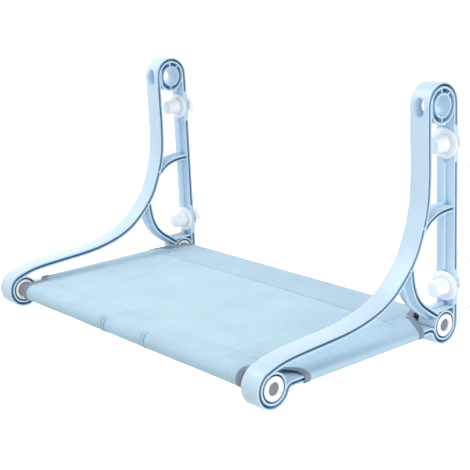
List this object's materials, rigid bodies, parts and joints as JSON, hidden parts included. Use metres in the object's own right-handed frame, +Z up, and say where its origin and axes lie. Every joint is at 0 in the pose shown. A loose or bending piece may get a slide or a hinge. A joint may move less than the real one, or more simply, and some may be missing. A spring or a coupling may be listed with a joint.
{
  "type": "cat window hammock",
  "caption": "Window perch for a cat: two moulded side brackets on screw-down suction cups carry two steel tubes with a stretched cloth bed.",
  "frame": {"origin": "on the glass plane, midway between the four suction cups", "axes": "+Z up, +Y out of the part into the glass, +X to the right as seen from the room"},
  "size_m": [0.652, 0.3857, 0.3569],
  "materials": {
    "bracket_abs": "pale blue moulded ABS, satin",
    "white_abs": "white moulded ABS, satin",
    "clear_pvc": "clear soft PVC, glossy",
    "steel": "zinc plated steel",
    "polyester": "pale blue plain-weave polyester",
    "binding_tape": "dark grey woven edge binding",
    "hook_and_loop": "pale hook-and-loop tape"
  },
  "bodies": {
    "hammock": {"right_bracket": "bracket_abs", "right_bracket_wall": "bracket_abs", "right_bracket_top_boss": "bracket_abs", "right_upper_suction_cup": "clear_pvc", "right_upper_stud": "steel", "right_lower_suction_cup": "clear_pvc", "right_lower_stud": "steel", "right_front_outer_bush": "white_abs", "right_front_inner_bush": "white_abs", "right_front_bolt": "steel", "right_front_tube_insert": "steel", "right_front_binding": "binding_tape", "right_back_outer_bush": "white_abs", "right_back_inner_bush": "white_abs", "right_back_bolt": "steel", "right_back_tube_insert": "steel", "right_back_binding": "binding_tape", "right_hook_loop_strip": "hook_and_loop", "left_bracket": "bracket_abs", "left_bracket_wall": "bracket_abs", "left_bracket_top_boss": "bracket_abs", "left_upper_suction_cup": "clear_pvc", "left_upper_stud": "steel", "left_lower_suction_cup": "clear_pvc", "left_lower_stud": "steel", "left_front_outer_bush": "white_abs", "left_front_inner_bush": "white_abs", "left_front_bolt": "steel", "left_front_tube_insert": "steel", "left_front_binding": "binding_tape", "left_back_outer_bush": "white_abs", "left_back_inner_bush": "white_abs", "left_back_bolt": "steel", "left_back_tube_insert": "steel", "left_back_binding": "binding_tape", "left_hook_loop_strip": "hook_and_loop", "front_tube": "steel", "back_tube": "steel", "cloth_bed": "polyester"},
    "right_upper_washer_body": {"right_upper_washer": "white_abs"},
    "right_upper_nut_body": {"right_upper_nut": "white_abs"},
    "right_lower_washer_body": {"right_lower_washer": "white_abs"},
    "right_lower_nut_body": {"right_lower_nut": "white_abs"},
    "left_upper_washer_body": {"left_upper_washer": "white_abs"},
    "left_upper_nut_body": {"left_upper_nut": "white_abs"},
    "left_lower_washer_body": {"left_lower_washer": "white_abs"},
    "left_lower_nut_body": {"left_lower_nut": "white_abs"}
  },
  "joints": [
    {"name": "right_upper_nut_slide", "type": "slide", "parent": "hammock", "child": "right_upper_washer_body", "axis": [0, -1, 0], "range_m": [0, 0.008]},
    {"name": "right_upper_nut_turn", "type": "hinge", "parent": "right_upper_washer_body", "child": "right_upper_nut_body", "pos_m": [0.286, -0.0273, 0.0985], "axis": [0, -1, 0], "range_deg": [0, 1440]},
    {"name": "right_lower_nut_slide", "type": "slide", "parent": "hammock", "child": "right_lower_washer_body", "axis": [0, -1, 0], "range_m": [0, 0.008]},
    {"name": "right_lower_nut_turn", "type": "hinge", "parent": "right_lower_washer_body", "child": "right_lower_nut_body", "pos_m": [0.286, -0.0273, -0.0985], "axis": [0, -1, 0], "range_deg": [0, 1440]},
    {"name": "left_upper_nut_slide", "type": "slide", "parent": "hammock", "child": "left_upper_washer_body", "axis": [0, -1, 0], "range_m": [0, 0.008]},
    {"name": "left_upper_nut_turn", "type": "hinge", "parent": "left_upper_washer_body", "child": "left_upper_nut_body", "pos_m": [-0.286, -0.0273, 0.0985], "axis": [0, -1, 0], "range_deg": [0, 1440]},
    {"name": "left_lower_nut_slide", "type": "slide", "parent": "hammock", "child": "left_lower_washer_body", "axis": [0, -1, 0], "range_m": [0, 0.008]},
    {"name": "left_lower_nut_turn", "type": "hinge", "parent": "left_lower_washer_body", "child": "left_lower_nut_body", "pos_m": [-0.286, -0.0273, -0.0985], "axis": [0, -1, 0], "range_deg": [0, 1440]}
  ],
  "couplings": [
    {"joint": "right_upper_nut_slide", "follows": "right_upper_nut_turn", "m_per_rad": 0.000318},
    {"joint": "right_lower_nut_slide", "follows": "right_lower_nut_turn", "m_per_rad": 0.000318},
    {"joint": "left_upper_nut_slide", "follows": "left_upper_nut_turn", "m_per_rad": 0.000318},
    {"joint": "left_lower_nut_slide", "follows": "left_lower_nut_turn", "m_per_rad": 0.000318}
  ]
}
